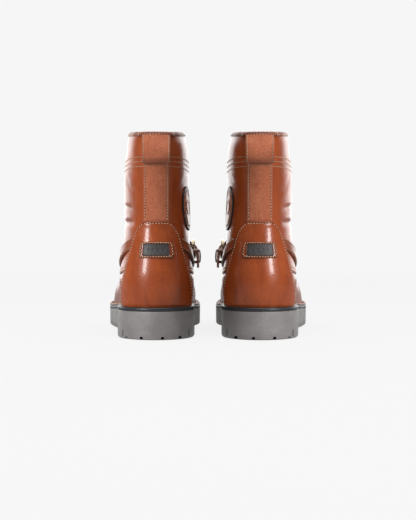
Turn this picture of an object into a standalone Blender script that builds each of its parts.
"""A pair of ankle-high leather riding boots with lugged rubber soles and a buckled instep strap.

Each boot is a last-shaped surface, given by level outlines from the feather line (where the upper meets
the sole) to the rim. The leather pieces are shells laid on that surface in layers, sewn edge to edge:
lining inside, then vamp, quarters and heel stiffener, then heel counter, backstay and straps outside.
Lengths are in millimetres until a mesh is made. In a boot's own frame s runs to its outer side,
y from the heel to the toe and z up; +Y in the scene is the way both toes point.
"""

import bisect
import functools
import math

import bmesh
import bpy
from mathutils import Matrix, Vector

MM = 0.001

# Placing of the two boots
AXIS_X = 54.4  # heel-back centre of each boot from the pair's middle plane
TOE_OUT = math.radians(2.4)

# Heights
FEATHER = 34.5  # bottom edge of the upper at the heel
RIM = 216.6  # top edge of the leather at the back
RIM_RISE = 12.0  # the rim is this much higher at the front
COUNTER_TOP = 125.0
BREAST_Y = 72.0  # front face of the heel block

# Thicknesses and offsets from the last surface (+ is outwards)
LEATHER = 1.5
LAYER_GAP = 0.4
OVERLAY_OUTER = LAYER_GAP + LEATHER
LINING_OUTER = -4.2
LINING_THICK = 1.0
SEAM_GAP = 0.4

# Sole
SOLE_BACK = -2.5
SOLE_FRONT = 303.0
MIDSOLE_THICK = 3.7
TOE_SPRING = 6.0
PIECE_GAP = 0.3  # between the layers of the sole

# Slots of the tread: (across or into the edge, width or length along y, height)
FOREFOOT_SLOT = (7.0, 2.6, 11.0)
FOREFOOT_SLOTS_Y = [134.0 + 12.0 * i for i in range(13)]
HEEL_SIDE_SLOT = (7.0, 2.2, 7.2)
HEEL_SIDE_SLOTS_Y = (19.0, 43.0)
HEEL_BACK_SLOT = (3.4, 26.0, 4.2)
HEEL_BACK_SLOTS_X = (-25.1, -6.6, 15.8, 32.5)
CROSS_GROOVE = (60.0, 3.0, 5.0)
CROSS_GROOVES_Y = [172.0 + 24.0 * i for i in range(4)]

# Pieces inside the foot
TOE_PUFF_COLUMNS = (11, 21)
TOE_PUFF_ROWS = (1, 6)
INSIDE_MARGIN = 9.8  # from the last's outline to the inner soles, which lie within the lining
SHANK_SPAN = (45.0, 165.0)
FILLER_SPAN = (170.0, 284.0)
INNER_SOLE_SPAN = (4.0, 291.0)

# Strap and buckle
STRAP_WIDTH = 13.0
STRAP_THICK = 2.2
ANCHOR_THICK = 2.0
BAR_RADIUS = 1.25
BAR_HEIGHT = 4.3  # buckle bar above the last surface
FRAME_LENGTH = 13.0  # bar to bar
FRAME_HALF_WIDTH = STRAP_WIDTH / 2 + 2.4
FRAME_BEND = 2.2  # radius of the frame's corners
FRAME_TILT = math.radians(14.0)
PRONG_RADIUS = 0.85
PRONG_EYE = BAR_RADIUS + 1.35  # middle of the eye's wire from the bar's axis, leaving running clearance

# Grid of the upper: columns run up the boot, rows run round it
BACKSTAY_COLUMN = 3
FRONT_COLUMN = 16
ALL_COLUMNS = 2 * FRONT_COLUMN
LOWER_ROWS = [0.0, 0.1, 0.2, 0.3, 0.4, 0.5, 0.62, 0.74, 0.87, 1.0]
SEAM_ROW = len(LOWER_ROWS) - 1
MIDDLE_ROWS = [0.33, 0.67, 1.0]
UPPER_ROWS = [119.0, COUNTER_TOP, 145.0, 165.0, 185.0, 203.0, RIM]
MIDDLE_TOP = 113.0
COUNTER_ROW = SEAM_ROW + len(MIDDLE_ROWS) + 2
RIM_ROW = SEAM_ROW + len(MIDDLE_ROWS) + len(UPPER_ROWS)


class Curve:
    """A smooth curve through (x, y) points that never overshoots them, level beyond its ends."""

    def __init__(self, points):
        self.x = [point[0] for point in points]
        self.y = [point[1] for point in points]
        steps = range(len(points) - 1)
        slope = [(self.y[i + 1] - self.y[i]) / (self.x[i + 1] - self.x[i]) for i in steps]
        self.tangent = [slope[0]]
        for before, after in zip(slope, slope[1:]):
            same_way = before * after > 0.0
            self.tangent.append(2.0 * before * after / (before + after) if same_way else 0.0)
        self.tangent.append(slope[-1])

    def __call__(self, x):
        x = min(max(x, self.x[0]), self.x[-1])
        i = min(bisect.bisect_right(self.x, x), len(self.x) - 1) - 1
        width = self.x[i + 1] - self.x[i]
        f = (x - self.x[i]) / width
        return (
            (1 + 2 * f) * (1 - f) ** 2 * self.y[i]
            + f * (1 - f) ** 2 * width * self.tangent[i]
            + f * f * (3 - 2 * f) * self.y[i + 1]
            + f * f * (f - 1) * width * self.tangent[i + 1]
        )


class Outline:
    """A level outline: round ends of the given radii, and half widths (outer, inner) at stations along y."""

    def __init__(self, back, front, back_radius, front_radius, stations):
        self.back = back
        self.front = front
        half = (front - back) / 2
        ends = [math.sqrt(back_radius * half), math.sqrt(front_radius * half)]
        self.fullness = []
        for which in (1, 2):
            points = [(0.0, ends[0])]
            for station in stations:
                f = (station[0] - back) / (front - back)
                points.append((f, station[which] / (2 * math.sqrt(f * (1 - f)))))
            points.append((1.0, ends[1]))
            self.fullness.append(Curve(points))

    def full(self, f, outer):
        return self.fullness[0 if outer else 1](f)

    def half_widths(self, y):
        f = min(max((y - self.back) / (self.front - self.back), 0.0), 1.0)
        reach = 2 * math.sqrt(f * (1 - f))
        return self.full(f, True) * reach, self.full(f, False) * reach


# height: outline of the upper at that height
LEVELS = {
    FEATHER: Outline(4.0, 291.0, 33, 32, [
        (20, 31.0, 31.0), (45, 38.3, 38.3), (80, 38.0, 37.0), (120, 40.5, 34.5), (165, 49.0, 40.0),
        (205, 56.5, 46.5), (235, 55.5, 47.0), (262, 46.0, 42.0), (280, 29.5, 28.5)]),
    47.0: Outline(1.5, 297.0, 32, 32, [
        (18, 30.6, 30.6), (45, 40.2, 40.2), (80, 40.4, 39.3), (120, 43.0, 37.5), (165, 50.5, 43.0),
        (205, 55.0, 47.5), (235, 53.5, 47.0), (262, 45.0, 42.0), (284, 28.0, 27.5)]),
    57.0: Outline(1.0, 288.0, 32, 30, [
        (18, 30.6, 30.6), (45, 40.6, 40.6), (80, 40.6, 39.8), (120, 42.8, 39.5), (165, 48.0, 43.5),
        (205, 50.5, 45.5), (235, 47.5, 43.5), (262, 37.0, 35.5), (279, 21.0, 20.5)]),
    66.0: Outline(1.2, 268.0, 31, 26, [
        (18, 30.0, 30.0), (45, 40.2, 40.2), (80, 40.0, 39.6), (120, 41.0, 39.0), (165, 44.0, 41.5),
        (205, 43.5, 41.0), (235, 35.0, 34.0), (257, 19.0, 19.0)]),
    74.0: Outline(2.2, 239.0, 29, 22, [
        (18, 28.4, 28.4), (45, 38.9, 38.9), (80, 39.2, 38.9), (120, 39.5, 38.0), (160, 40.0, 38.5),
        (195, 35.5, 34.5), (218, 25.5, 25.0), (231, 15.0, 15.0)]),
    86.0: Outline(4.2, 204.0, 26, 18, [
        (20, 27.2, 27.2), (45, 37.0, 37.0), (80, 37.9, 37.6), (120, 37.0, 36.2), (155, 33.5, 33.0),
        (180, 25.5, 25.0), (195, 15.0, 15.0)]),
    104.0: Outline(7.4, 174.0, 23, 17, [
        (22, 24.6, 24.6), (45, 34.4, 34.4), (80, 36.6, 36.6), (115, 34.8, 34.8), (145, 28.0, 28.0),
        (163, 17.0, 17.0)]),
    125.0: Outline(9.6, 153.0, 20, 17, [
        (22, 21.6, 21.6), (45, 32.0, 32.0), (78, 36.0, 36.0), (110, 33.3, 33.3), (132, 24.5, 24.5),
        (145, 14.5, 14.5)]),
    150.0: Outline(9.5, 144.0, 19, 17, [
        (22, 21.2, 21.2), (45, 32.0, 32.0), (76, 36.0, 36.0), (105, 33.0, 33.0), (125, 24.3, 24.3),
        (136, 14.6, 14.6)]),
    205.0: Outline(6.0, 139.0, 18, 16, [
        (18, 20.4, 20.4), (42, 30.2, 30.2), (72, 33.5, 33.5), (102, 30.4, 30.4), (122, 21.4, 21.4),
        (132, 13.0, 13.0)]),
    219.0: Outline(6.5, 138.0, 16, 15, [
        (18, 18.2, 18.2), (42, 27.0, 27.0), (72, 29.8, 29.8), (102, 27.2, 27.2), (122, 19.4, 19.4),
        (132, 11.6, 11.6)]),
}
BACK_LINE = Curve([(height, outline.back) for height, outline in LEVELS.items()])
FRONT_LINE = Curve([(height, outline.front) for height, outline in LEVELS.items()])
SOLE_OUTLINE = Outline(SOLE_BACK, SOLE_FRONT, 38, 38, [
    (15, 33.4, 32.7), (45, 42.9, 41.6), (80, 41.8, 39.8), (120, 43.8, 37.5), (165, 53.5, 44.5),
    (205, 60.5, 52.8), (235, 60.0, 52.8), (262, 51.5, 48.0), (285, 33.0, 32.0)])

FEATHER_LINE = Curve([(0, 34.5), (68, 34.5), (110, 31.8), (160, 26.8), (205, 24.7), (250, 25.8),
                      (SOLE_FRONT, 24.7 + TOE_SPRING)])
TREAD_LINE = Curve([(BREAST_Y, 15.0), (95, 13.0), (130, 3.0), (155, 0.0), (240, 0.0), (270, 1.8),
                    (SOLE_FRONT, TOE_SPRING + 1.0)])
COUNTER_EDGE = Curve([(34.5, 36.6), (47, 37.2), (57, 36.4), (67, 34.6), (79, 31.8), (89, 29.0),
                      (98, 26.4), (106, 24.2), (113, 21.8), (119, 18.6), (124.5, 13.4), (126, 12.9),
                      (219, 12.9)])
VAMP_SEAM = Curve([(0.0, 73), (0.6, 72), (1.1, 66.5), (1.7, 67.5), (2.2, 74), (2.6, 85), (2.9, 96),
                   (math.pi, 102)])


def last_point(t, h, offset=0.0):
    """The point of the boot's surface at angle t (0 at the back, + round the outer side) and height h."""
    point = bare_point(t, h)
    if offset == 0.0:
        return point
    return point + offset * last_normal(t, h)


@functools.lru_cache(maxsize=None)
def fullness_up_boot(f, outer):
    return Curve([(height, outline.full(f, outer)) for height, outline in LEVELS.items()])


def bare_point(t, h):
    f = (1 - math.cos(t)) / 2
    fullness = fullness_up_boot(f, math.sin(t) >= 0)
    y = BACK_LINE(h) + (FRONT_LINE(h) - BACK_LINE(h)) * f
    low = (1 + math.cos(math.pi * min(max((h - FEATHER) / 55.0, 0.0), 1.0))) / 2
    high = min(max((h - 150.0) / (RIM - 150.0), 0.0), 1.1)
    z = h + low * (FEATHER_LINE(y) - FEATHER) + high * RIM_RISE * f
    return Vector((fullness(h) * math.sin(t), y, z))


def last_normal(t, h):
    round_boot = bare_point(t + 0.01, h) - bare_point(t - 0.01, h)
    up_boot = bare_point(t, h + 0.5) - bare_point(t, h - 0.5)
    normal = round_boot.cross(up_boot)
    normal.z *= min(max((h - FEATHER) / 14.0, 0.0), 1.0)
    return normal.normalized()


def angle_at_width(h, width):
    """The angle at the back of the boot where the surface is that far from the centre line."""
    low, high = 0.0, 0.95
    for _ in range(24):
        middle = (low + high) / 2
        if bare_point(middle, h).x < width:
            low = middle
        else:
            high = middle
    return low


EDGE_HEIGHTS = [34.5, 41, 47, 52, 57, 67, 79, 89, 98, 106, 113, 119, 124.5, 126, 150, 180, 219]
EDGE_ANGLE = Curve([(h, angle_at_width(h, COUNTER_EDGE(h))) for h in EDGE_HEIGHTS])


def row_height(row, angle):
    seam = VAMP_SEAM(abs(angle))
    nodes = [FEATHER + f * (seam - FEATHER) for f in LOWER_ROWS]
    nodes += [seam + f * (MIDDLE_TOP - seam) for f in MIDDLE_ROWS] + UPPER_ROWS
    i = min(int(row), len(nodes) - 2)
    return nodes[i] + (row - i) * (nodes[i + 1] - nodes[i])


def grid_place(column, row):
    """The angle and height of a grid node; a column past the front one carries on round the inner side."""
    if column > FRONT_COLUMN:
        column -= ALL_COLUMNS
    side = -1.0 if column < 0 else 1.0
    column = abs(column)
    angle, h = column * math.pi / FRONT_COLUMN, row_height(row, column * math.pi / FRONT_COLUMN)
    for _ in range(5):
        edge = EDGE_ANGLE(h)
        if column <= BACKSTAY_COLUMN:
            angle = edge * column / BACKSTAY_COLUMN
        else:
            share = (column - BACKSTAY_COLUMN) / (FRONT_COLUMN - BACKSTAY_COLUMN)
            angle = edge + (math.pi - edge) * share
        h = row_height(row, angle)
    return side * angle, h


def grid_point(column, row, offset):
    return last_point(*grid_place(column, row), offset)


def nudged(column, row, along_column, along_row):
    """The grid place that lies SEAM_GAP inside an edge, so that neighbours never touch."""
    here = grid_point(column, row, 0.0)
    small = 0.1
    if along_column:
        speed = (grid_point(column + small * along_column, row, 0.0) - here).length / small
        column += along_column * SEAM_GAP / speed
    if along_row:
        speed = (grid_point(column, row + small * along_row, 0.0) - here).length / small
        row += along_row * SEAM_GAP / speed
    return column, row


# ---------------------------------------------------------------- scene helpers


def clear_scene():
    for obj in list(bpy.data.objects):
        bpy.data.objects.remove(obj, do_unlink=True)


def make_material(name, colour, roughness, metallic=0.0):
    material = bpy.data.materials.new(name)
    material.use_nodes = True
    shader = material.node_tree.nodes["Principled BSDF"]
    shader.inputs["Base Color"].default_value = (*colour, 1.0)
    shader.inputs["Roughness"].default_value = roughness
    shader.inputs["Metallic"].default_value = metallic
    return material


MATERIALS = {}


def make_materials():
    MATERIALS["leather"] = make_material("tan_leather", (0.38, 0.09, 0.025), 0.32)
    MATERIALS["suede"] = make_material("suede", (0.40, 0.15, 0.07), 0.9)
    MATERIALS["lining"] = make_material("lining_leather", (0.55, 0.36, 0.20), 0.7)
    MATERIALS["rubber"] = make_material("grey_rubber", (0.20, 0.19, 0.19), 0.65)
    MATERIALS["dark"] = make_material("dark_midsole", (0.035, 0.035, 0.04), 0.5)
    MATERIALS["badge"] = make_material("badge_rubber", (0.05, 0.045, 0.045), 0.55)
    MATERIALS["edge"] = make_material("dark_edge", (0.03, 0.015, 0.01), 0.5)
    MATERIALS["metal"] = make_material("pale_brass", (0.72, 0.62, 0.42), 0.3, 1.0)
    MATERIALS["steel"] = make_material("shank_steel", (0.5, 0.5, 0.5), 0.4, 1.0)
    MATERIALS["board"] = make_material("fibre_board", (0.45, 0.33, 0.2), 0.8)
    MATERIALS["cork"] = make_material("cork", (0.42, 0.26, 0.13), 0.9)


class Boot:
    """Names, places and collects the pieces of one boot; hand is +1 for the right boot, -1 for the left."""

    def __init__(self, name, hand, collection, origin):
        self.name = name
        self.hand = hand
        self.collection = collection
        self.origin = origin

    def world(self, point):
        """A point of the boot's own frame in metres in the scene."""
        across = AXIS_X + point.x * math.cos(TOE_OUT) + point.y * math.sin(TOE_OUT)
        along = point.y * math.cos(TOE_OUT) - point.x * math.sin(TOE_OUT)
        return Vector((self.hand * across, along, point.z)) * MM

    def add(self, part, mesh, material, pivot=None, closed=True):
        """Makes the named piece of a mesh in the boot's own frame, with its origin on pivot if given."""
        base = self.world(pivot) if pivot else Vector((0.0, 0.0, 0.0))
        for vertex in mesh.verts:
            vertex.co = self.world(vertex.co) - base
        if closed:
            bmesh.ops.recalc_face_normals(mesh, faces=mesh.faces)
            if mesh.calc_volume(signed=True) < 0:
                bmesh.ops.reverse_faces(mesh, faces=mesh.faces)
        elif self.hand < 0:
            bmesh.ops.reverse_faces(mesh, faces=mesh.faces)
        data = bpy.data.meshes.new(f"{self.name}_{part}")
        mesh.to_mesh(data)
        mesh.free()
        data.materials.append(MATERIALS[material])
        data.shade_smooth()
        data.set_sharp_from_angle(angle=math.radians(40))
        obj = bpy.data.objects.new(f"{self.name}_{part}", data)
        obj.location = base
        obj.parent = self.origin
        self.collection.objects.link(obj)
        return obj

    def add_cutter(self, part, mesh, cutters):
        """A hidden body, of cubes in the boot's own frame, that a Boolean takes away."""
        for vertex in mesh.verts:
            vertex.co = self.world(vertex.co)
        if self.hand < 0:
            bmesh.ops.reverse_faces(mesh, faces=mesh.faces)
        data = bpy.data.meshes.new(f"{self.name}_{part}")
        mesh.to_mesh(data)
        mesh.free()
        cutter = bpy.data.objects.new(f"{self.name}_{part}", data)
        cutter.hide_render = True
        cutter.display_type = "WIRE"
        cutter.parent = self.origin
        cutters.objects.link(cutter)
        return cutter

    def solidify(self, obj, thickness):
        modifier = obj.modifiers.new("thickness", "SOLIDIFY")
        modifier.thickness = thickness * MM
        modifier.offset = -1.0
        return obj


def sheet_mesh(rows_of_points, ring=False):
    """An open sheet through rows of points, or a tube of them where ring is set."""
    mesh = bmesh.new()
    rows = [[mesh.verts.new(point) for point in row] for row in rows_of_points]
    for below, above in zip(rows, rows[1:]):
        count = len(below)
        for i in range(count if ring else count - 1):
            j = (i + 1) % count
            mesh.faces.new((below[i], below[j], above[j], above[i]))
    return mesh


def loft_mesh(sections):
    """A closed body through sections of equal length, capped at both ends."""
    mesh = bmesh.new()
    rings = [[mesh.verts.new(point) for point in section] for section in sections]
    for here, there in zip(rings, rings[1:]):
        for i in range(len(here)):
            j = (i + 1) % len(here)
            mesh.faces.new((here[i], here[j], there[j], there[i]))
    mesh.faces.new(rings[0])
    mesh.faces.new(list(reversed(rings[-1])))
    return mesh


# ---------------------------------------------------------------- upper


def panel(boot, part, columns, rows, outer, thickness, material, step=1, ring=False):
    """A shell on the last surface between two columns and two rows, kept clear of its neighbours."""
    column_list = list(range(columns[0], columns[1] + 1, step))
    row_list = list(range(rows[0], rows[1] + 1))
    if ring:
        column_list.pop()
    sheet = []
    for row in row_list:
        line = []
        for column in column_list:
            inward = 0 if ring else (column == columns[0]) - (column == columns[1])
            upward = (row == rows[0]) - (row == rows[1])
            place = nudged(column, row, inward, upward)
            line.append(grid_point(*place, outer))
        sheet.append(line)
    obj = boot.add(part, sheet_mesh(sheet, ring), material, closed=False)
    return boot.solidify(obj, thickness)


def build_upper(boot):
    edge = BACKSTAY_COLUMN
    back = ALL_COLUMNS - edge
    panel(boot, "lining", (0, ALL_COLUMNS), (0, RIM_ROW), LINING_OUTER, LINING_THICK, "lining",
          step=2, ring=True)
    panel(boot, "vamp", (edge, back), (0, SEAM_ROW), 0.0, LEATHER, "leather")
    panel(boot, "heel_stiffener", (-edge, edge), (0, SEAM_ROW), 0.0, LEATHER, "board")
    panel(boot, "outer_quarter", (0, FRONT_COLUMN), (SEAM_ROW, RIM_ROW), 0.0, LEATHER, "leather")
    panel(boot, "inner_quarter", (FRONT_COLUMN, ALL_COLUMNS), (SEAM_ROW, RIM_ROW), 0.0, LEATHER,
          "leather")
    panel(boot, "heel_counter", (-edge, edge), (0, COUNTER_ROW), OVERLAY_OUTER, LEATHER, "leather")
    panel(boot, "backstay", (-edge, edge), (COUNTER_ROW, RIM_ROW), OVERLAY_OUTER, LEATHER, "suede")
    panel(boot, "front_stay", (FRONT_COLUMN - 1, FRONT_COLUMN + 1), (COUNTER_ROW, RIM_ROW),
          OVERLAY_OUTER, LEATHER, "leather")
    panel(boot, "toe_puff", TOE_PUFF_COLUMNS, TOE_PUFF_ROWS, -LEATHER - LAYER_GAP, 0.9, "board")


BINDING_RADIUS = 1.7
BINDING_MIDDLE = -2.0  # half way between the quarters and the lining


def build_collar_binding(boot):
    """A rolled leather edge that closes the tops of the lining and the quarters."""
    curve = bpy.data.curves.new(f"{boot.name}_collar_binding", "CURVE")
    curve.dimensions = "3D"
    curve.bevel_depth = BINDING_RADIUS * MM
    curve.bevel_resolution = 2
    spline = curve.splines.new("POLY")
    spline.points.add(ALL_COLUMNS - 1)
    spline.use_cyclic_u = True
    for i in range(ALL_COLUMNS):
        point = grid_point(i, RIM_ROW, BINDING_MIDDLE) + Vector((0, 0, BINDING_RADIUS + 0.2))
        spline.points[i].co = (*boot.world(point), 1.0)
    curve.materials.append(MATERIALS["edge"])
    obj = bpy.data.objects.new(f"{boot.name}_collar_binding", curve)
    obj.parent = boot.origin
    boot.collection.objects.link(obj)


# (offset, height) of a pull loop's outside, from the rim down to where it is sewn on again
BACK_LOOP_ROUTE = [
    (3.7, RIM - 0.3), (4.7, 213.5), (6.7, 209.5), (8.9, 205), (10.4, 198), (9.6, 191), (6.2, 187.5),
    (2.5 + LEATHER, 186.6)]
FRONT_LOOP_ROUTE = [
    (3.8, RIM - 0.3), (5.2, 213.5), (7.6, 209.5), (10.0, 203), (9.8, 197), (6.2, 193.5),
    (2.5 + LEATHER, 192.6)]
BACK_LOOP_HALF_WIDTH = 15.0
FRONT_LOOP_HALF_WIDTH = 10.0
LOOP_FLATNESS = 0.8  # share of the boot's roundness that a pull loop loses where it stands off


def ribbon(boot, part, angle, half_width, route, thickness, material):
    """A strip at the given angle along (offset, height) points of its outside, flatter than the boot."""
    sheet = []
    for offset, h in route:
        middle = bare_point(angle, h)
        straight = last_normal(angle, h)
        speed = (bare_point(angle + 0.01, h) - bare_point(angle - 0.01, h)).length / 0.02
        away = min(offset / 5.0, 1.0)
        line = []
        for i in range(-2, 3):
            turn = angle + i / 2 * half_width / speed
            point = bare_point(turn, h)
            point.y += LOOP_FLATNESS * away * (middle.y - point.y)
            direction = last_normal(turn, h).lerp(straight, away).normalized()
            line.append(point + offset * direction)
        sheet.append(line)
    mesh = sheet_mesh(list(reversed(sheet)))
    return boot.solidify(boot.add(part, mesh, material, closed=False), thickness)


def build_pull_loops(boot):
    ribbon(boot, "back_pull_loop", 0.0, BACK_LOOP_HALF_WIDTH, BACK_LOOP_ROUTE, LEATHER, "suede")
    ribbon(boot, "front_pull_loop", math.pi, FRONT_LOOP_HALF_WIDTH, FRONT_LOOP_ROUTE, LEATHER, "leather")


# ---------------------------------------------------------------- sole


def sole_slab(boot, part, span, outline, top, bottom, material, margin=0.0, count=18, flare=1.0):
    """A body between two heights that follows the sole's outline over a span of y."""
    back, front = outline.back, outline.front

    def angle_of(y):
        f = min(max((y - back) / (front - back), 0.003), 0.997)
        return math.acos(1 - 2 * f)

    first, last = angle_of(span[0]), angle_of(span[1])
    sections = []
    for i in range(count):
        angle = first + (last - first) * i / (count - 1)
        y = back + (front - back) * (1 - math.cos(angle)) / 2
        outer, inner = outline.half_widths(y)
        outer, inner = max(outer - margin, 2.0), max(inner - margin, 2.0)
        y = min(max(y, back + margin), front - margin)
        low, high = bottom(y), top(y)
        sections.append([
            Vector((outer * flare, y, low)), Vector((outer, y, high)),
            Vector((-inner, y, high)), Vector((-inner * flare, y, low))])
    return boot.add(part, loft_mesh(sections), material)


def tread_cutter(boot, cutters):
    """Slots between the lugs: round the forefoot and across it, along the heel's sides and back."""
    mesh = bmesh.new()

    def slot(centre, turn, size):
        matrix = Matrix.Translation(centre) @ Matrix.Rotation(turn, 4, "Z") @ Matrix.Diagonal((*size, 1))
        bmesh.ops.create_cube(mesh, size=1.0, matrix=matrix)

    def side_slot(y, middle, size):
        for which, sign in ((0, 1), (1, -1)):
            reach = SOLE_OUTLINE.half_widths(y)[which]
            ahead = SOLE_OUTLINE.half_widths(y + 1.0)[which]
            turn = -sign * math.atan(ahead - reach)
            slot(Vector((sign * reach, y, middle)), turn, size)

    for y in FOREFOOT_SLOTS_Y:
        side_slot(y, TREAD_LINE(y) + 2.5, FOREFOOT_SLOT)
    for y in HEEL_SIDE_SLOTS_Y:
        side_slot(y, 4.9, HEEL_SIDE_SLOT)
    for across in HEEL_BACK_SLOTS_X:
        slot(Vector((across, SOLE_BACK + 5.0, 0.2)), 0.0, HEEL_BACK_SLOT)
    for y in CROSS_GROOVES_Y:
        slot(Vector((2.0, y, 0.0)), 0.0, CROSS_GROOVE)

    return boot.add_cutter("tread_cutter", mesh, cutters)


def cut(obj, cutter):
    modifier = obj.modifiers.new("tread", "BOOLEAN")
    modifier.operation = "DIFFERENCE"
    modifier.solver = "EXACT"
    modifier.object = cutter


def build_sole(boot, cutters):
    under_midsole = MIDSOLE_THICK + PIECE_GAP

    def feather(rise):
        return lambda y: FEATHER_LINE(y) + rise

    heel = sole_slab(boot, "heel_block", (SOLE_BACK, BREAST_Y), SOLE_OUTLINE,
                     feather(-under_midsole), lambda y: 0.0, "rubber", count=9, flare=0.99)
    outsole = sole_slab(boot, "outsole", (BREAST_Y + PIECE_GAP, SOLE_FRONT), SOLE_OUTLINE,
                        feather(-under_midsole), TREAD_LINE, "rubber", count=18, flare=0.985)
    cutter = tread_cutter(boot, cutters)
    cut(heel, cutter)
    cut(outsole, cutter)
    sole_slab(boot, "midsole", (SOLE_BACK, SOLE_FRONT), SOLE_OUTLINE, feather(-2 * PIECE_GAP),
              feather(-MIDSOLE_THICK), "dark", margin=0.4, count=22)

    # Inside the lining, from the midsole up
    inside = LEVELS[FEATHER]
    shank = Outline(20.0, 190.0, 8, 8, [(45, 8, 8), (105, 8, 8), (165, 8, 8)])
    sole_slab(boot, "shank", SHANK_SPAN, shank, feather(2.0), feather(PIECE_GAP), "steel", count=8)
    sole_slab(boot, "forefoot_filler", FILLER_SPAN, inside, feather(2.0), feather(PIECE_GAP), "cork",
              margin=INSIDE_MARGIN + 1.0, count=10)
    sole_slab(boot, "insole_board", INNER_SOLE_SPAN, inside, feather(4.3), feather(2.3), "board",
              margin=INSIDE_MARGIN, count=16)
    sole_slab(boot, "footbed", INNER_SOLE_SPAN, inside, feather(7.6), feather(4.6), "lining",
              margin=INSIDE_MARGIN + 0.2, count=16)


def build_welt(boot):
    """The sewn strip that shows between the upper and the edge of the forefoot's sole."""
    start = math.acos(1 - 2 * (84.0 - SOLE_BACK) / (SOLE_FRONT - SOLE_BACK))
    steps = 22
    sections = []
    for i in range(steps + 1):
        turn = start + (2 * math.pi - 2 * start) * i / steps
        f = (1 - math.cos(turn)) / 2
        y = SOLE_BACK + (SOLE_FRONT - SOLE_BACK) * f
        outward = 1 if turn <= math.pi else -1
        reach = SOLE_OUTLINE.full(f, turn <= math.pi) * abs(math.sin(turn)) * outward
        upper = last_point(turn if turn <= math.pi else turn - 2 * math.pi, FEATHER, 0.9)
        edge = Vector((reach, y, 0.0))
        toward = Vector((upper.x - reach, upper.y - y, 0.0))
        width = toward.length
        toward.normalize()
        outer = edge + toward * 0.3
        inner = edge + toward * min(max(width - 0.2, 1.2), 6.0)
        low_outer, low_inner = FEATHER_LINE(outer.y), FEATHER_LINE(inner.y)
        sections.append([
            Vector((outer.x, outer.y, low_outer)), Vector((outer.x, outer.y, low_outer + 1.7)),
            Vector((inner.x, inner.y, low_inner + 1.7)), Vector((inner.x, inner.y, low_inner))])
    boot.add("welt", loft_mesh(sections), "leather")


# ---------------------------------------------------------------- badge and patch


def plate(boot, part, angle, h, half_size, outer, thickness, material, oval=False, hole=None):
    """A small plate that follows the surface, cut as an oval or a rectangle, with an optional hole."""
    speed = (last_point(angle + 0.01, h, outer) - last_point(angle - 0.01, h, outer)).length / 0.02
    count = 20

    def edge_point(i, size):
        turn = 2 * math.pi * i / count
        a, b = math.cos(turn), math.sin(turn)
        if not oval:
            grow = 1 / (abs(a) ** 8 + abs(b) ** 8) ** (1 / 8)
            a, b = a * grow, b * grow
        return angle + a * size[0] / speed, h + b * size[1]

    sheet = []
    inner = hole or (half_size[0] * 0.5, half_size[1] * 0.5)
    for size in (inner, half_size):
        sheet.append([last_point(*edge_point(i, size), outer) for i in range(count)])
    mesh = sheet_mesh(list(reversed(sheet)), ring=True)
    if not hole:
        mesh.verts.ensure_lookup_table()
        ring = [vertex for vertex in mesh.verts][count:]
        middle = mesh.verts.new(last_point(angle, h, outer))
        for i in range(count):
            mesh.faces.new((middle, ring[i], ring[(i + 1) % count]))
    obj = boot.add(part, mesh, material, closed=False)
    return boot.solidify(obj, thickness)


BADGE_HEIGHT = 94.6
PATCH_ANGLE = -1.12
PATCH_HEIGHT = 140.0


def build_badge(boot):
    outside = OVERLAY_OUTER + LAYER_GAP + 1.2
    plate(boot, "badge_border", 0.0, BADGE_HEIGHT, (16.3, 8.6), outside, 1.2, "leather",
          hole=(14.1, 6.0))
    plate(boot, "badge_plate", 0.0, BADGE_HEIGHT, (13.7, 5.6), outside + 0.2, 1.4, "badge")


def build_ankle_patch(boot):
    plate(boot, "patch_edge", PATCH_ANGLE, PATCH_HEIGHT, (17.0, 24.0), 2.0, 1.6, "edge", oval=True,
          hole=(15.0, 22.0))
    plate(boot, "patch_disc", PATCH_ANGLE, PATCH_HEIGHT, (14.6, 21.6), 2.2, 1.8, "leather", oval=True)


# ---------------------------------------------------------------- strap and buckle


def place_at(y, z, outer_side):
    """The angle and height on one side of the boot whose surface point has this y and z."""
    sign = 1 if outer_side else -1
    h = z
    angle = 1.5
    for _ in range(12):
        f = (y - BACK_LINE(h)) / (FRONT_LINE(h) - BACK_LINE(h))
        angle = math.acos(1 - 2 * min(max(f, 0.001), 0.999))
        h += z - bare_point(sign * angle, h).z
    return sign * angle, h


# Middle lines as (y, z, outer side?) from the heel counter round the front
STRAP_ROUTE = [(33, 97.5, True), (45, 92, True), (62, 85.5, True), (88, 80.5, True), (112, 84, True),
               (132, 95, True), (147, 107, True), (160.5, 114, True), (160.5, 114, False),
               (148, 110, False), (132, 104.5, False)]
ANCHOR_ROUTE = [(33, 97.5, False), (45, 92, False), (60, 85, False), (78, 80.5, False),
                (92, 83.5, False), (101.5, 88.5, False)]
BUCKLE_BAR = (108.0, 92.0)
BUCKLE_FAR = (119.5, 98.0)
TAIL_END = (84.0, 75.0)


def surface_route(stations):
    """Smooth points on the surface through (y, z, side) stations, each with its normal."""
    points = []
    for y, z, side in stations:
        angle, h = place_at(y, z, side)
        points.append((bare_point(angle, h), last_normal(angle, h)))
    return points


def smooth(points, per_span):
    """A Catmull-Rom curve through vectors."""
    result = []
    for i in range(len(points) - 1):
        before = points[max(i - 1, 0)]
        here, there = points[i], points[i + 1]
        after = points[min(i + 2, len(points) - 1)]
        for step in range(per_span):
            f = step / per_span
            result.append(0.5 * (
                2 * here + (there - before) * f + (2 * before - 5 * here + 4 * there - after) * f * f
                + (3 * here - before - 3 * there + after) * f ** 3))
    result.append(points[-1].copy())
    return result


def strap_sections(middles, normals, width, thickness):
    """Flat sections across a strap whose inner face runs along middles."""
    sections = []
    for i, (middle, normal) in enumerate(zip(middles, normals)):
        ahead = middles[min(i + 1, len(middles) - 1)] - middles[max(i - 1, 0)]
        across = normal.cross(ahead).normalized()
        out = ahead.cross(across).normalized()
        half = across * width / 2
        sections.append([middle - half, middle + half, middle + half + out * thickness,
                         middle - half + out * thickness])
    return sections


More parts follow.
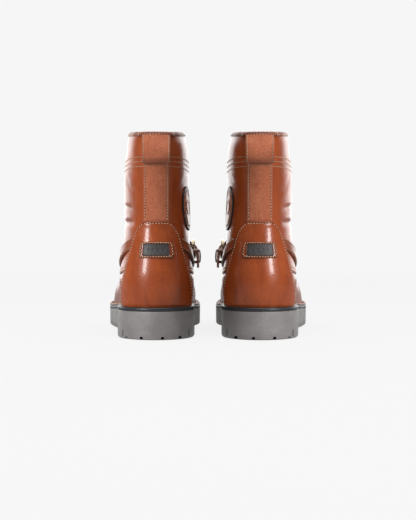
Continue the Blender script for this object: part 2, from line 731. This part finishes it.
class Buckle:
    """The buckle's own frame: e1 from its hinge bar to its far bar, e2 along the bars, e3 outwards."""

    def __init__(self):
        bar_angle, bar_h = place_at(*BUCKLE_BAR, False)
        far_angle, far_h = place_at(*BUCKLE_FAR, False)
        normal = last_normal(bar_angle, bar_h)
        self.origin = bare_point(bar_angle, bar_h) + BAR_HEIGHT * normal
        ahead = bare_point(far_angle, far_h) - bare_point(bar_angle, bar_h)
        self.e1 = (ahead - normal * ahead.dot(normal)).normalized()
        self.e3 = normal
        self.e2 = self.e3.cross(self.e1)

    def point(self, a, b, c):
        return self.origin + a * self.e1 + b * self.e2 + c * self.e3

    def box_mesh(self, centre, size):
        axes = Matrix((self.e1, self.e2, self.e3)).transposed().to_4x4()
        matrix = Matrix.Translation(self.point(*centre)) @ axes @ Matrix.Diagonal((*size, 1))
        mesh = bmesh.new()
        bmesh.ops.create_cube(mesh, size=1.0, matrix=matrix)
        return mesh


STRAP_LIFT = 0.7  # inner face of a strap above the last surface
BUCKLE_PASS = 3.5  # inner face of the strap above the bar's axis, where it crosses the bar
# The strap past its last station on the boot, as (a, c) in the buckle's frame
STRAP_OVER_BUCKLE = [(14.5, -2.6), (8.0, 0.6), (0.5, BUCKLE_PASS), (-9.0, BUCKLE_PASS + 0.3),
                     (-17.0, BUCKLE_PASS)]
TAIL_LIFT = 6.6
# Centre and size of the slots that let the prong through, in the buckle's frame
STRAP_SLOT = ((5.0, 0.0, 1.5), (18.0, 3.4, 11.0))
CHAPE_SLOT = ((1.0, 0.0, 0.0), (9.4, 3.8, 9.0))
CHAPE_LEG = -6.0
CHAPE_HALF_WIDTH = 6.4
CHAPE_INNER = BAR_RADIUS + 0.35
CHAPE_OUTER = BAR_RADIUS + 1.85


def build_strap(boot, buckle, cutters):
    route = surface_route(STRAP_ROUTE)
    middles = [point + normal * STRAP_LIFT for point, normal in route]
    normals = [normal for _, normal in route]
    tail_angle, tail_h = place_at(*TAIL_END, False)
    tail_normal = last_normal(tail_angle, tail_h)
    for a, c in STRAP_OVER_BUCKLE:
        middles.append(buckle.point(a, 0.0, c))
        normals.append(buckle.e3)
    middles.append(bare_point(tail_angle, tail_h) + TAIL_LIFT * tail_normal)
    normals.append(tail_normal)
    per_span = 3
    middles, normals = smooth(middles, per_span), smooth(normals, per_span)
    sections = strap_sections(middles, normals, STRAP_WIDTH, STRAP_THICK)
    strap = boot.add("instep_strap", loft_mesh(sections), "leather")

    slot = buckle.box_mesh(*STRAP_SLOT)
    cut(strap, boot.add_cutter("prong_slot", slot, cutters))


def build_anchor(boot, buckle, cutters):
    """The short strap, sewn under the heel counter, that holds the buckle."""
    route = surface_route(ANCHOR_ROUTE)
    middles = [point + normal * STRAP_LIFT for point, normal in route]
    normals = [normal for _, normal in route]
    middles = smooth(middles, 3)
    normals = smooth(normals, 3)
    sections = strap_sections(middles, normals, STRAP_WIDTH, ANCHOR_THICK)
    boot.add("buckle_anchor", loft_mesh(sections), "leather")

    build_chape(boot, buckle, cutters)


def build_chape(boot, buckle, cutters):
    """Leather folded round the buckle's bar, with a slot in the fold for the prong's eye."""
    steps = 8
    profile = [(CHAPE_LEG, CHAPE_INNER, CHAPE_LEG, CHAPE_OUTER)]
    for i in range(steps + 1):
        turn = math.radians(90 - 180 * i / steps)
        profile.append((CHAPE_INNER * math.cos(turn), CHAPE_INNER * math.sin(turn),
                        CHAPE_OUTER * math.cos(turn), CHAPE_OUTER * math.sin(turn)))
    profile.append((CHAPE_LEG, -CHAPE_INNER, CHAPE_LEG, -CHAPE_OUTER))
    half = CHAPE_HALF_WIDTH
    sections = []
    for a0, c0, a1, c1 in profile:
        sections.append([buckle.point(a0, -half, c0), buckle.point(a1, -half, c1),
                         buckle.point(a1, half, c1), buckle.point(a0, half, c0)])
    chape = boot.add("buckle_chape", loft_mesh(sections), "leather")
    slot = buckle.box_mesh(*CHAPE_SLOT)
    cut(chape, boot.add_cutter("chape_slot", slot, cutters))


def rod_mesh(path, radius, sides=8, closed=False):
    """A round rod along points."""
    sections = []
    count = len(path)
    for i, point in enumerate(path):
        if closed:
            ahead = path[(i + 1) % count] - path[i - 1]
        else:
            ahead = path[min(i + 1, count - 1)] - path[max(i - 1, 0)]
        ahead.normalize()
        side = ahead.orthogonal() if i == 0 else side - ahead * side.dot(ahead)
        side.normalize()
        up = ahead.cross(side)
        sections.append([point + radius * (math.cos(k) * side + math.sin(k) * up)
                         for k in (2 * math.pi * j / sides for j in range(sides))])
    if not closed:
        return loft_mesh(sections)
    mesh = loft_mesh(sections)
    mesh.faces.ensure_lookup_table()
    bmesh.ops.delete(mesh, geom=mesh.faces[-2:], context="FACES_ONLY")
    mesh.verts.ensure_lookup_table()
    first = mesh.verts[:sides]
    last = mesh.verts[-sides:]
    for i in range(sides):
        j = (i + 1) % sides
        mesh.faces.new((last[i], last[j], first[j], first[i]))
    return mesh


def build_buckle(boot, buckle):
    def tilted(a, b, c=0.0):
        return buckle.point(a * math.cos(FRAME_TILT) - c * math.sin(FRAME_TILT), b,
                            a * math.sin(FRAME_TILT) + c * math.cos(FRAME_TILT))

    half = FRAME_HALF_WIDTH
    corners = [(0.0, -half), (0.0, half), (FRAME_LENGTH, half), (FRAME_LENGTH, -half)]
    path = []
    for i, (a, b) in enumerate(corners):
        before, after = corners[i - 1], corners[(i + 1) % 4]
        to_before = Vector((before[0] - a, before[1] - b)).normalized() * FRAME_BEND
        to_after = Vector((after[0] - a, after[1] - b)).normalized() * FRAME_BEND
        path.append(tilted(a + to_before.x, b + to_before.y))
        path.append(tilted(a + 0.3 * (to_before.x + to_after.x), b + 0.3 * (to_before.y + to_after.y)))
        path.append(tilted(a + to_after.x, b + to_after.y))
    boot.add("buckle_frame", rod_mesh(path, BAR_RADIUS, closed=True), "metal", pivot=buckle.origin)

    # The prong's eye goes round the hinge bar and its tip rests on the far bar
    path = []
    for i in (0, 2, 3, 4, 5, 6, 7, 8):
        turn = math.radians(-60 - 300 * i / 8)
        path.append(tilted(PRONG_EYE * math.cos(turn), 0.0, PRONG_EYE * math.sin(turn)))
    rest = BAR_RADIUS + PRONG_RADIUS + 0.3
    path.append(tilted(PRONG_EYE + 2.6, 0.0, 0.4))
    path.append(tilted(FRAME_LENGTH - 3.0, 0.0, rest - 0.4))
    path.append(tilted(FRAME_LENGTH, 0.0, rest))
    path.append(tilted(FRAME_LENGTH + 1.9, 0.0, rest - 0.1))
    boot.add("buckle_prong", rod_mesh(path, PRONG_RADIUS, sides=6), "metal", pivot=buckle.origin)


KEEPER_SPAN = (-9.2, -14.0)  # along the strap, in the buckle's frame
KEEPER_THICK = 1.2


def build_keeper(boot, buckle):
    """A leather loop that holds the strap's tail down on the anchor strap."""
    half = STRAP_WIDTH / 2 + 0.5
    thick = KEEPER_THICK
    top = BUCKLE_PASS + STRAP_THICK + 1.2
    foot = -BAR_HEIGHT + 3.6
    inner = [(-half, foot), (-half, top - 1.0), (-half + 1.0, top), (half - 1.0, top),
             (half, top - 1.0), (half, foot)]
    outer = [(-half - thick, foot), (-half - thick, top - 0.4), (-half + 0.4, top + thick),
             (half - 0.4, top + thick), (half + thick, top - 0.4), (half + thick, foot)]
    sections = []
    front, back = KEEPER_SPAN
    for (b0, c0), (b1, c1) in zip(inner, outer):
        sections.append([buckle.point(front, b0, c0), buckle.point(front, b1, c1),
                         buckle.point(back, b1, c1), buckle.point(back, b0, c0)])
    boot.add("strap_keeper", loft_mesh(sections), "leather")


def build_boot(name, hand, collection, cutters, origin):
    boot = Boot(name, hand, collection, origin)
    build_upper(boot)
    build_collar_binding(boot)
    build_pull_loops(boot)
    build_sole(boot, cutters)
    build_welt(boot)
    build_badge(boot)
    build_ankle_patch(boot)
    buckle = Buckle()
    build_strap(boot, buckle, cutters)
    build_anchor(boot, buckle, cutters)
    build_buckle(boot, buckle)
    build_keeper(boot, buckle)


def main():
    clear_scene()
    make_materials()
    scene = bpy.context.scene.collection
    boots = bpy.data.collections.new("riding_boots")
    cutters = bpy.data.collections.new("cutters")
    scene.children.link(boots)
    scene.children.link(cutters)
    origin = bpy.data.objects.new("pair_origin", None)
    boots.objects.link(origin)
    build_boot("left", -1, boots, cutters, origin)
    build_boot("right", 1, boots, cutters, origin)
    origin.location.y = -middle_of_length(boots)


def middle_of_length(collection):
    """Half way between the backs of the heels and the tips of the soles, before the pair is centred."""
    along = []
    for obj in collection.objects:
        if obj.type == "MESH":
            along += [obj.location.y + vertex.co.y for vertex in obj.data.vertices]
    return (min(along) + max(along)) / 2


main()
